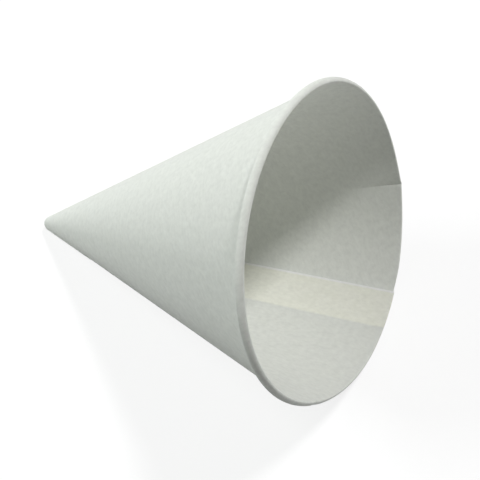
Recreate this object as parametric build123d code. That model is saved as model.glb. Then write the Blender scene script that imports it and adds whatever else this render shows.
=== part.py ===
from build123d import *
from math import acos, asin, atan2, cos, degrees, hypot, radians, sin, sqrt
import os

# A cone paper cup: one sheet wound to a cone, glued along a lapped seam, with a closed round tip and
# a rim that is curled outwards. It lies on its side on z = 0, on the curl and the tip, mouth to +X.

# Driving dimensions, in millimetres
rim_diameter = 73.0      # over the curled rim
cup_height = 93.0        # from the tip to the top of the rim, along the cup's axis
paper_thickness = 0.25   # one layer of the sheet
curl_diameter = 1.6      # outside of the curl
curl_gap = 0.1           # between the curl's cut edge and the outside of the lap
rest_flat_width = 13.0   # the stretch of the rim that is pressed flat where the cup lies on it
tip_radius = 2.3         # outside of the closed tip
lap_width = 9.5          # the strip where the sheet's two ends lie over each other
tip_wrap_length = 4.0    # from the tip, over which the outer end of the sheet goes all the way round

# Angles, in degrees
ramp_turn = 12.0         # round the axis, over which the outer layer climbs onto the inner cut edge
seam_turn = 14.0         # from the underside to the inner cut edge, towards +Y

# Number of flats that the curl's section is drawn with
curl_flats = 16

# Share of the paper's thickness by which solids that are joined reach into each other
bury_share = 0.5

# The sheet in section: the inside of the wall runs from the tip's circle to the curl's circle
lap_thickness = 2 * paper_thickness
tip_inside_radius = tip_radius - lap_thickness
curl_radius = curl_diameter / 2
rim_radius = rim_diameter / 2
rest_flat_depth = rim_radius - sqrt(rim_radius**2 - (rest_flat_width / 2)**2)
curl_ring_radius = rim_radius - curl_radius
curl_ring_height = cup_height - curl_radius
centre_distance = hypot(curl_ring_radius, curl_ring_height - tip_radius)
centre_angle = atan2(curl_ring_radius, curl_ring_height - tip_radius)
wall_angle = centre_angle - asin((tip_inside_radius + curl_radius) / centre_distance)
wall_normal_angle = -degrees(wall_angle)
curl_start = 180 + wall_normal_angle
curl_turn = 360 - degrees(acos((curl_radius - lap_thickness - curl_gap) / curl_radius))

tip_centre = Vector(0, 0, tip_radius)
curl_centre = Vector(curl_ring_radius, 0, curl_ring_height)


def on_circle(centre, radius, angle):
    """The point of a circle in the XZ plane, at an angle in degrees from +X towards +Z."""
    return centre + Vector(radius * cos(radians(angle)), 0, radius * sin(radians(angle)))


def tip_arc(offset):
    """The tip's section an offset outside the cup's inside: an arc from the axis to the wall."""
    angles = (-90, (wall_normal_angle - 90) / 2, wall_normal_angle)
    return ThreePointArc(*(on_circle(tip_centre, tip_inside_radius + offset, angle) for angle in angles))


def curl_arc(offset):
    """The curl's section an offset outside the cup's inside: an arc in short flats, from the wall outwards."""
    angles = [curl_start - curl_turn * flat / curl_flats for flat in range(curl_flats + 1)]
    return Polyline(*(on_circle(curl_centre, curl_radius - offset, angle) for angle in angles))


def wall_radius(offset, height):
    """The radius of the wall's surface that lies an offset outside its inside, at a height above the tip."""
    return (tip_inside_radius + offset + (height - tip_radius) * sin(wall_angle)) / cos(wall_angle)


def sheet_edge(offset):
    """The surface an offset outside the cup's inside, in section: tip, wall and curl."""
    tip = tip_arc(offset)
    curl = curl_arc(offset)
    return [tip, Line(tip @ 1, curl @ 0), curl]


def sheet(inner, outer):
    """The sheet between two offsets, turned all the way round the axis."""
    inside = sheet_edge(inner)
    outside = sheet_edge(outer)
    foot = Line(inside[0] @ 0, outside[0] @ 0)
    end = Line(inside[-1] @ 1, outside[-1] @ 1)
    section = make_face(inside + [end] + outside + [foot])
    return revolve(section, Axis.Z, 360)


def wedge(low, high, edge):
    """A long thin wedge beside the seam's plane: a triangle above the wrapped tip, carried up the wall.

    low, high and edge are offsets from the wall's inside: the wedge's edge lies a ramp's turn away from
    the seam's plane, and its back stands in that plane from low to high.
    """
    triangles = []
    top = on_circle(curl_centre, curl_radius, curl_start).Z
    for height in (tip_wrap_length, top):
        away = wall_radius(edge, height)
        corners = [
            (wall_radius(low, height), 0, height),
            (wall_radius(high, height), 0, height),
            (away * cos(radians(ramp_turn)), away * sin(radians(ramp_turn)), height),
        ]
        triangles.append(make_face(Polyline(*corners, close=True)))
    return loft(triangles, ruled=True)


def lap():
    """The outer end of the sheet, glued over the inner one: a strip beside y = 0, and a turn round the tip."""
    layer = sheet(paper_thickness * bury_share, lap_thickness)
    strip = Box(rim_diameter, lap_width, cup_height, align=(Align.MIN, Align.MAX, Align.MIN))
    tip = Box(rim_diameter, rim_diameter, tip_wrap_length, align=(Align.CENTER, Align.CENTER, Align.MIN))
    return layer & (strip + tip)


def paper_cone():
    """The cup about its own axis, +Z from tip to mouth, with the inner cut edge in the plane y = 0."""
    buried = paper_thickness * bury_share
    climb = wedge(buried, lap_thickness, buried)
    under = wedge(-buried, paper_thickness, -buried)
    return sheet(0, paper_thickness) + climb + lap() - under


def curl_tube():
    """The curl's outline filled in, turned all the way round the axis."""
    curl = curl_arc(0)
    return revolve(make_face([curl, Line(curl @ 1, curl @ 0)]), Axis.Z, 360)


def laid_down(cup):
    """The cup on its side: its tip and a flat on its curl rest on z = 0, with its middle over the origin."""
    lean = centre_angle - asin((tip_radius - curl_radius + rest_flat_depth) / centre_distance)
    tip_end = tip_radius * cos(lean) - tip_radius
    mouth_end = curl_ring_height * cos(lean) + curl_ring_radius * sin(lean) + curl_radius
    place = Pos(-(tip_end + mouth_end) / 2, 0, tip_radius - tip_radius * sin(lean))
    lie = place * Rot(0, 90 - degrees(lean), 0) * Rot(0, 0, seam_turn)
    floor_layer = Box(cup_height, rim_diameter, paper_thickness, align=(Align.MIN, Align.CENTER, Align.MIN))
    below_floor = Box(cup_height, rim_diameter, rim_diameter, align=(Align.MIN, Align.CENTER, Align.MAX))
    pressed_in = (lie * curl_tube()) & floor_layer
    return lie * cup + pressed_in - below_floor


os.makedirs("parts", exist_ok=True)
export_step(laid_down(paper_cone()), "parts/paper_cone.step")
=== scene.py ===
from math import asin, atan2, cos, hypot, pi, radians, sin, sqrt
import bpy
import numpy as np
from mathutils import Matrix, Vector


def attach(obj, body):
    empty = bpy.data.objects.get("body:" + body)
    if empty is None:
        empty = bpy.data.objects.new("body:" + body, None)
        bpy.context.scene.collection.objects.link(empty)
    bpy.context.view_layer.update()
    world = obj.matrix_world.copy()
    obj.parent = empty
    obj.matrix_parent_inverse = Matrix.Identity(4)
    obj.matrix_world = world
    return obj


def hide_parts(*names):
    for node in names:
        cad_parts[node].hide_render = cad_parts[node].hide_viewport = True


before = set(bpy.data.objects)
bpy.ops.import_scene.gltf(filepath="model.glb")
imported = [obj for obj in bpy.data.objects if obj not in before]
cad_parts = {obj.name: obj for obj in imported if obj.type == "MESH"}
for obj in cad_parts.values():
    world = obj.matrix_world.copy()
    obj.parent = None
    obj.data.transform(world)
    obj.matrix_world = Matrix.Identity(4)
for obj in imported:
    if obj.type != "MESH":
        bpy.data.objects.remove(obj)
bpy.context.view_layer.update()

# A cone paper cup: one sheet wound to a cone and glued along a lap, with its large edge curled outwards.
# Lengths are in millimetres until the mesh is made.
# Turns go round the cup's axis, in degrees: 0 is the underside, 90 is +Y and 180 is the top.
metres_per_mm = 0.001

# The cup, as in the part's own source
rim_diameter = 73.0
cup_height = 93.0
paper_thickness = 0.25
curl_diameter = 1.6
rest_flat_width = 13.0
tip_radius = 2.3
lap_width = 9.5
ramp_turn = 12.0
seam_turn = 14.0

# The curl is pressed to an oval whose flat side faces outwards and to the mouth
curl_width = 1.85
curl_depth = 1.0
curl_slant = radians(60.0)
curl_turn = radians(290.0)

# How the real cup is bent: its tip lies off the axis, and its rim is out of round in lobes and pressed in
tip_drift = -3.174
lobe_across = 0.543
lobe_along = -0.166
lobes_round = 3
press_turn = -140.0
press_depth = 1.227
press_width = 24.0

# A crease in the rim, which stands out in a sharp ridge with a broad fold behind it, and a dent in the rim
crease_turn = 60.0
crease_depth = 0.25
crease_width_above = 0.4
crease_width_below = 0.6
crease_length = 5.0
fold_depth = 0.7
fold_width_above = 4.2
fold_width_below = 8.0
fold_length = 20.0
dent_turn = -60.0
dent_length = 6.0
dent_depth = 0.14
dent_width = 1.0

# The sheet's centre is left open by a pinhole, and its cut edges are kept sharp by columns close beside them
pinhole_radius = 0.02
edge_margin = 0.04

# How the cup lies, as in the part's own source: the curl's centre lies lower than the tip's by centre_drop
lap_thickness = 2 * paper_thickness
tip_inside_radius = tip_radius - lap_thickness
rim_radius = rim_diameter / 2
ring_radius = rim_radius - curl_diameter / 2
ring_height = cup_height - curl_diameter / 2
ring_rise = ring_height - tip_radius
rest_flat_depth = rim_radius - sqrt(rim_radius**2 - (rest_flat_width / 2)**2)
centre_drop = tip_radius - curl_diameter / 2 + rest_flat_depth
lean = atan2(ring_radius, ring_rise) - asin(centre_drop / hypot(ring_radius, ring_rise))
tip_end = tip_radius * cos(lean) - tip_radius
mouth_end = ring_height * cos(lean) + ring_radius * sin(lean) + curl_diameter / 2
foot = np.array([-(tip_end + mouth_end) / 2, 0, tip_radius - tip_radius * sin(lean)])
axis = np.array([cos(lean), 0, sin(lean)])
down = np.array([sin(lean), 0, -cos(lean)])
side = np.array([0, 1, 0])

# Numbers of rounds, of rows along the section and of columns round the axis
wall_rounds = 6
tip_rows = 12
wall_rows = 56
curl_rows = 44
turn_columns = 240
lap_columns = 12

# How far round the rim the extra columns lie from the crease
crease_columns = np.array([-1.6, -0.8, -0.4, -0.2, -0.1, -0.03, 0.03, 0.1, 0.2, 0.4, 0.8])

# The flat sheet's picture: this length of paper fills the UV square, and each face has half its height
uv_span = 220.0

# The paper's finish: the glued strip and a painted highlight along the inner cut edge, and the size of each
# pattern on the sheet
glue_width = 10.0
glue_blur = 0.3
# Width of the painted highlight along the inner cut edge
cut_highlight_width = 0.3
tint_width = 20.0
mottle_size = 1.6
streak_size = 0.7
streak_stretch = 1.7
fibre_size = 0.35
fibre_height = 0.012
light_path = 0.2
mottle_detail = 3
fibre_detail = 4
mottle_range = (0.7, 1.3)
shade_shares = (0.93, 1.03)
paper_roughness = 0.85
paper_specular = 0.25
light_through_share = 0.6

# The floor and the lamps: turn and rise in degrees, width round the cup's axis and height along it
floor_half_width = 1500.0
floor_depth = -0.02
floor_glow = 0.8
lamp_distance = 900.0
lamps = {
    "key": {"turn": 147, "rise": 34, "width": 90, "height": 160, "watts": 4.55, "colour": "FFFFFF"},
    "overhead": {"turn": 188, "rise": -26, "width": 600, "height": 300, "watts": 5.2, "colour": "FAFFFD"},
    "mouth": {"turn": 315, "rise": 72, "width": 200, "height": 200, "watts": 1.3, "colour": "FFFFFF"},
}

# The photo's view
camera_azimuth = radians(36.165)
camera_elevation = radians(59.798)
camera_roll = radians(-15.075)
camera_eye = np.array([68.223, -74.165, 183.487])
camera_lens = 57.98
camera_clip = 10.0


def oval(facing):
    """The curl's oval where its edge faces an angle: its reach that way, and the place from its centre.

    In each of the oval's own two directions, the point is the half size that way squared, times the facing's
    part that way, over the reach.
    """
    half_width = curl_width / 2
    half_depth = curl_depth / 2
    angle = facing + curl_slant
    reach = np.hypot(half_width * np.cos(angle), half_depth * np.sin(angle))
    long = half_width**2 * np.cos(angle) / reach
    short = half_depth**2 * np.sin(angle) / reach
    outwards = long * cos(curl_slant) + short * sin(curl_slant)
    upwards = short * cos(curl_slant) - long * sin(curl_slant)
    return reach, outwards, upwards


def section_path():
    """The sheet's inside in section: radius, height, the normal to its outside, length along it, wall angle.

    It is an arc round the tip's centre, a straight wall, and an oval that turns outwards. The wall touches
    both, and its angle is found in a few rounds, because the oval's reach towards the wall changes with it.
    The length is counted from where the wall's line would meet the axis.
    """
    oval_r = rim_radius - oval(0)[0]
    oval_h = cup_height - oval(pi / 2)[0]
    rise = oval_h - tip_radius
    wall_angle = lean
    for _ in range(wall_rounds):
        reach = tip_inside_radius + oval(pi - wall_angle)[0]
        wall_angle = atan2(oval_r, rise) - asin(reach / hypot(oval_r, rise))
    start = asin(pinhole_radius / tip_inside_radius) - pi / 2
    tip = np.linspace(start, -wall_angle, tip_rows)
    r_tip = tip_inside_radius * np.cos(tip)
    h_tip = tip_radius + tip_inside_radius * np.sin(tip)
    curl = pi - wall_angle - curl_turn * np.linspace(0, 1, curl_rows)
    _, outwards, upwards = oval(curl)
    r_curl = outwards + oval_r
    h_curl = upwards + oval_h
    share = np.linspace(0, 1, wall_rows)[1:-1]
    r_wall = r_tip[-1] + share * (r_curl[0] - r_tip[-1])
    h_wall = h_tip[-1] + share * (h_curl[0] - h_tip[-1])
    flat = np.ones(len(share))
    r = np.concatenate([r_tip, r_wall, r_curl])
    h = np.concatenate([h_tip, h_wall, h_curl])
    normal_r = np.concatenate([np.cos(tip), flat * cos(wall_angle), -np.cos(curl)])
    normal_h = np.concatenate([np.sin(tip), -flat * sin(wall_angle), -np.sin(curl)])
    along = np.concatenate([[0], np.cumsum(np.hypot(np.diff(r), np.diff(h)))])
    along += r_tip[-1] / sin(wall_angle) - along[tip_rows - 1]
    return r, h, normal_r, normal_h, along, wall_angle


def winding(r):
    """How far round each column lies from the inner cut edge, in each row: one full turn, then the lap.

    The lap has one width up the wall. Columns lie close together beside the cut edges and the crease.
    """
    margin = edge_margin / rim_radius
    crease = radians(seam_turn - crease_turn) % (2 * pi) - crease_columns / rim_radius
    even = np.linspace(0, 2 * pi, turn_columns + 1)[1:]
    turn = np.sort(np.concatenate([[0, margin], even, crease]))
    full = np.broadcast_to(turn, (len(r), len(turn)))
    lap_share = np.concatenate([np.linspace(0, 1, lap_columns)[1:-1], [1 - edge_margin / lap_width, 1]])
    lap_turn = np.arcsin(np.minimum(lap_width / r, 1))
    return np.concatenate([full, 2 * pi + lap_turn[:, None] * lap_share], axis=1)


def smooth(share):
    """A smooth step, three squares less two cubes of the share: 0 below 0, 1 above 1."""
    share = np.clip(share, 0, 1)
    return share * share * (3 - 2 * share)


def round_from(turn, place):
    """How far round the rim a turn lies from a place on it, in millimetres, positive towards +Y."""
    return ((turn - radians(place) + pi) % (2 * pi) - pi) * rim_radius


def ridge(beside, depth, above, below):
    """A sharp ridge: its depth times e to the minus distance over a width, one width on either side."""
    return depth * np.exp(-np.abs(beside) / np.where(beside > 0, above, below))


def damage(turn, h):
    """How far the wall is pushed outwards: a crease on a broad fold, less a bell-shaped dent.

    Each fades away smoothly down the wall, over a length of its own.
    """
    beside = round_from(turn, crease_turn)
    below = cup_height - h
    crease = ridge(beside, crease_depth, crease_width_above, crease_width_below)
    fold = ridge(beside, fold_depth, fold_width_above, fold_width_below)
    dent = dent_depth * np.exp(-(round_from(turn, dent_turn) / dent_width)**2)
    pushed_out = crease * smooth(1 - below / crease_length) + fold * smooth(1 - below / fold_length)
    return pushed_out - dent * smooth(1 - below / dent_length)


def cup_mesh():
    """The wound sheet as a closed surface, and its place on the flat sheet.

    A row is a place on the section's path, first along the inside, then back along the outside, and a column
    is a winding angle. The sheet climbs by its own thickness before it passes the inner cut edge. The radius
    swells in lobes, is pressed in on one side in a bell shape, and is creased and dented at the rim. Each
    level is shifted along Y in step with its height, and the curl is squashed onto the floor.
    """
    r, h, normal_r, normal_h, along, wall_angle = section_path()
    wind = winding(r)
    climb = paper_thickness * smooth((wind - 2 * pi) / radians(ramp_turn) + 1)
    turn = radians(seam_turn) - wind
    lobes = lobe_across * (np.cos(lobes_round * turn) - 1) + lobe_along * np.sin(lobes_round * turn)
    press = press_depth * np.exp(-(round_from(turn, press_turn) / press_width)**2)
    swell = 1 + (lobes - press) / rim_radius
    layers = []
    for thickness in (0, paper_thickness):
        offset = climb + thickness
        level = h[:, None] + offset * normal_h[:, None]
        radius = (r[:, None] + offset * normal_r[:, None]) * swell + damage(turn, level)
        radial = np.cos(turn)[..., None] * down + np.sin(turn)[..., None] * side
        place = foot + level[..., None] * axis + radius[..., None] * radial
        place[..., 1] += tip_drift * (1 / 2 - level / cup_height)
        layers.append(place)
    curl_start = len(r) - curl_rows
    lowest = np.min([place[curl_start:, :, 2].min(0) for place in layers], axis=0)
    sunk = np.maximum(-lowest, 0)
    for place in layers:
        z = place[curl_start:, :, 2]
        z += sunk * np.clip((curl_diameter - z) / (curl_diameter + sunk), 0, 1)
    points = np.concatenate([layers[0], layers[1][::-1]])
    sheet_turn = wind * sin(wall_angle)
    flat = np.stack([np.cos(sheet_turn), np.sin(sheet_turn)], axis=-1) * along[:, None, None] / uv_span
    flat = np.concatenate([flat + np.array([1 / 2, 0]), flat[::-1] + np.array([1 / 2, 1 / 2])])
    rows, columns = points.shape[:2]
    index = np.arange(rows * columns).reshape(rows, columns)
    ring = np.concatenate([index, index[:1]])
    skin = np.stack([ring[:-1, :-1], ring[:-1, 1:], ring[1:, 1:], ring[1:, :-1]], axis=-1).reshape(-1, 4)
    half = rows // 2
    caps = []
    for column, order in ((0, 1), (-1, -1)):
        inside = index[:half, column]
        outside = index[:half - 1:-1, column]
        cap = np.stack([inside[:-1], inside[1:], outside[1:], outside[:-1]], axis=-1)
        caps.append(cap[:, ::order])
    return points.reshape(-1, 3), np.concatenate([skin] + caps), len(skin), flat.reshape(-1, 2)


def add_mesh(name, points, faces, smooth_faces, uv, material):
    """A mesh object of quads, with its faces turned outwards, from points in millimetres."""
    corner = points[faces]
    volume = (corner[:, 0] * np.cross(corner[:, 1], corner[:, 2])).sum()
    volume += (corner[:, 0] * np.cross(corner[:, 2], corner[:, 3])).sum()
    if volume < 0:
        faces = faces[:, ::-1]
    mesh = bpy.data.meshes.new(name)
    mesh.from_pydata((points * metres_per_mm).tolist(), [], faces.tolist())
    layer = mesh.uv_layers.new(name="flat_sheet")
    loops = np.empty(len(mesh.loops), dtype=np.int32)
    mesh.loops.foreach_get("vertex_index", loops)
    layer.data.foreach_set("uv", uv[loops].astype(np.float32).ravel())
    is_smooth = np.arange(len(faces)) < smooth_faces
    mesh.polygons.foreach_set("use_smooth", is_smooth)
    mesh.materials.append(material)
    mesh.update()
    obj = bpy.data.objects.new(name, mesh)
    bpy.context.scene.collection.objects.link(obj)
    return obj


def linear(hex_colour):
    """A colour in linear light from its sRGB hex value."""
    values = [int(hex_colour[k:k + 2], 16) / 255 for k in (0, 2, 4)]
    return [v / 12.92 if v <= 0.04045 else ((v + 0.055) / 1.055) ** 2.4 for v in values] + [1]


def add_node(tree, kind, inputs=None, **settings):
    """A node of a kind, with its settings, and its inputs set to values or linked from sockets."""
    node = tree.nodes.new(kind)
    for name, value in settings.items():
        setattr(node, name, value)
    for name, value in (inputs or {}).items():
        if isinstance(value, bpy.types.NodeSocket):
            tree.links.new(value, node.inputs[name])
        else:
            node.inputs[name].default_value = value
    return node


def new_material(name):
    """An empty node material, and its output node."""
    material = bpy.data.materials.new(name)
    material.use_nodes = True
    material.node_tree.nodes.clear()
    return material, add_node(material.node_tree, "ShaderNodeOutputMaterial")


def paper_material():
    """White uncoated paper: matt and a little mottled, with fine fibres, cream where the lap is glued, and a
    painted highlight along the inner cut edge for its lit face.

    It is thin enough to let some light through, so a wall that is lit from outside glows a little inside.
    The fibres are drawn coarser than real ones, so that they show.
    """
    paper = linear("EBEDE7")
    glue = linear("F9FAED")
    # A painted highlight: the inner cut edge's lit face, drawn as a whiter line on the paper
    cut_edge_highlight = linear("FFFFFB")
    material, output = new_material("white_uncoated_paper")
    tree = material.node_tree
    flat = add_node(tree, "ShaderNodeUVMap", uv_map="flat_sheet")
    sheet = add_node(tree, "ShaderNodeVectorMath", {
        0: flat.outputs[0], 1: [uv_span] * 3}, operation="MULTIPLY")
    parts = add_node(tree, "ShaderNodeSeparateXYZ", {0: sheet.outputs[0]})
    far_end = add_node(tree, "ShaderNodeMath", {
        0: parts.outputs["X"], 1: uv_span / 2}, operation="LESS_THAN")
    across = add_node(tree, "ShaderNodeMath", {
        0: parts.outputs["Y"], 1: 1 / tint_width, 2: far_end.outputs[0]}, operation="MULTIPLY_ADD")
    tint = add_node(tree, "ShaderNodeValToRGB", {"Fac": across.outputs[0]})
    # Across the seam: the painted highlight at the cut edge, then the cream glue, then plain paper
    places = [0, cut_highlight_width, 2 * cut_highlight_width, glue_width - glue_blur, glue_width + glue_blur]
    stops = list(zip(places, [cut_edge_highlight, cut_edge_highlight, glue, glue, paper]))
    ramp = tint.color_ramp
    while len(ramp.elements) < len(stops):
        ramp.elements.new(1)
    for element, (position, colour) in zip(ramp.elements, stops):
        element.position = position / tint_width
        element.color = colour
    mottle = add_node(tree, "ShaderNodeTexNoise", {
        "Vector": sheet.outputs[0], "Scale": 1 / mottle_size, "Detail": mottle_detail})
    grain = add_node(tree, "ShaderNodeVectorMath", {
        0: sheet.outputs[0], 1: [1 / streak_stretch, 1, 1]}, operation="MULTIPLY")
    streak = add_node(tree, "ShaderNodeTexNoise", {
        "Vector": grain.outputs[0], "Scale": 1 / streak_size, "Detail": mottle_detail})
    both = add_node(tree, "ShaderNodeMath", {0: mottle.outputs[0], 1: streak.outputs[0]}, operation="ADD")
    shade = add_node(tree, "ShaderNodeMapRange", {
        "Value": both.outputs[0], "From Min": mottle_range[0], "From Max": mottle_range[1],
        "To Min": shade_shares[0], "To Max": shade_shares[1]})
    colour = add_node(tree, "ShaderNodeVectorMath", {
        0: tint.outputs[0], 1: shade.outputs[0]}, operation="MULTIPLY")
    fibre = add_node(tree, "ShaderNodeTexNoise", {
        "Vector": grain.outputs[0], "Scale": 1 / fibre_size, "Detail": fibre_detail})
    lumps = add_node(tree, "ShaderNodeMath", {0: fibre.outputs[0], 1: streak.outputs[0]}, operation="ADD")
    bump = add_node(tree, "ShaderNodeBump", {
        "Height": lumps.outputs[0], "Strength": 1, "Distance": fibre_height * metres_per_mm})
    shader = add_node(tree, "ShaderNodeBsdfPrincipled", {
        "Base Color": colour.outputs[0], "Roughness": paper_roughness, "Specular IOR Level": paper_specular,
        "Normal": bump.outputs[0], "Subsurface Weight": light_through_share, "Subsurface Radius": [1] * 3,
        "Subsurface Scale": light_path * metres_per_mm})
    tree.links.new(shader.outputs[0], output.inputs["Surface"])
    return material


def seen_rays(tree):
    """1 for the rays that show what stands round the cup.

    These are the camera's own, and those that a surface mirrors or lets through.
    """
    path = add_node(tree, "ShaderNodeLightPath")
    seen = path.outputs["Is Camera Ray"]
    for kind in ("Is Glossy Ray", "Is Transmission Ray"):
        more = add_node(tree, "ShaderNodeMath", {0: seen, 1: path.outputs[kind]}, operation="MAXIMUM")
        seen = more.outputs[0]
    return seen


def floor_material():
    """A pale plain floor: white to the camera but for the cup's shadow, and grey to scattered light."""
    material, output = new_material("pale_floor")
    tree = material.node_tree
    card = add_node(tree, "ShaderNodeBsdfDiffuse", {"Color": linear("8C8C8C")})
    dim = add_node(tree, "ShaderNodeBsdfDiffuse", {"Color": linear("B0B0B0")})
    glow = add_node(tree, "ShaderNodeEmission", {"Strength": floor_glow})
    lit = add_node(tree, "ShaderNodeAddShader", {0: card.outputs[0], 1: glow.outputs[0]})
    seen = add_node(tree, "ShaderNodeMixShader", {0: seen_rays(tree), 1: dim.outputs[0], 2: lit.outputs[0]})
    tree.links.new(seen.outputs[0], output.inputs["Surface"])
    return material


def add_floor():
    """A square floor just under z = 0."""
    corners = np.array([(-1, -1), (1, -1), (1, 1), (-1, 1)]) * floor_half_width
    points = np.column_stack([corners, np.full(len(corners), floor_depth)]) * metres_per_mm
    mesh = bpy.data.meshes.new("floor")
    mesh.from_pydata(points.tolist(), [], [(0, 1, 2, 3)])
    mesh.materials.append(floor_material())
    floor = bpy.data.objects.new("floor", mesh)
    bpy.context.scene.collection.objects.link(floor)


def placed(data, right, up, back, place):
    """A lamp's or a camera's object at a place in millimetres, its own X, Y and Z along three directions."""
    obj = bpy.data.objects.new(data.name, data)
    turned = Matrix(np.column_stack([right, up, back]).tolist()).to_4x4()
    obj.matrix_world = Matrix.Translation(Vector(place * metres_per_mm)) @ turned
    bpy.context.scene.collection.objects.link(obj)
    return obj


def add_lamp(name, turn, rise, width, height, watts, colour):
    """An oblong lamp aimed at the cup, from a turn round the cup's axis and a rise towards its mouth."""
    out = cos(radians(turn)) * down + sin(radians(turn)) * side
    way = cos(radians(rise)) * out + sin(radians(rise)) * axis
    up = cos(radians(rise)) * axis - sin(radians(rise)) * out
    data = bpy.data.lights.new(name, "AREA")
    data.shape = "RECTANGLE"
    data.size = width * metres_per_mm
    data.size_y = height * metres_per_mm
    data.energy = watts
    data.color = linear(colour)[:3]
    placed(data, np.cross(up, way), up, way, way * lamp_distance)


def add_world():
    """White to the rays that show it, and dark to all others, so that the lamps light the cup."""
    world = bpy.data.worlds.new("studio")
    world.use_nodes = True
    tree = world.node_tree
    sky = tree.nodes["Background"]
    sky.inputs["Color"].default_value = (1, 1, 1, 1)
    tree.links.new(seen_rays(tree), sky.inputs["Strength"])
    bpy.context.scene.world = world


def add_camera():
    """The photo's view, into the mouth from above, with the picture turned a little about the view."""
    level_back = np.array([sin(camera_azimuth), -cos(camera_azimuth), 0])
    back = level_back * cos(camera_elevation) + np.array([0, 0, sin(camera_elevation)])
    level = np.array([cos(camera_azimuth), sin(camera_azimuth), 0])
    right = cos(camera_roll) * level + sin(camera_roll) * np.cross(back, level)
    data = bpy.data.cameras.new("camera")
    data.lens = camera_lens
    data.clip_start = camera_clip * metres_per_mm
    bpy.context.scene.camera = placed(data, right, np.cross(back, right), back, camera_eye)


points, faces, smooth_faces, uv = cup_mesh()
cup = add_mesh("paper_cup", points, faces, smooth_faces, uv, paper_material())
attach(cup, "root")
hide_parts("paper_cone")

for name, lamp in lamps.items():
    add_lamp(name, **lamp)
add_floor()
add_world()
add_camera()
bpy.context.scene.view_settings.view_transform = "Standard"
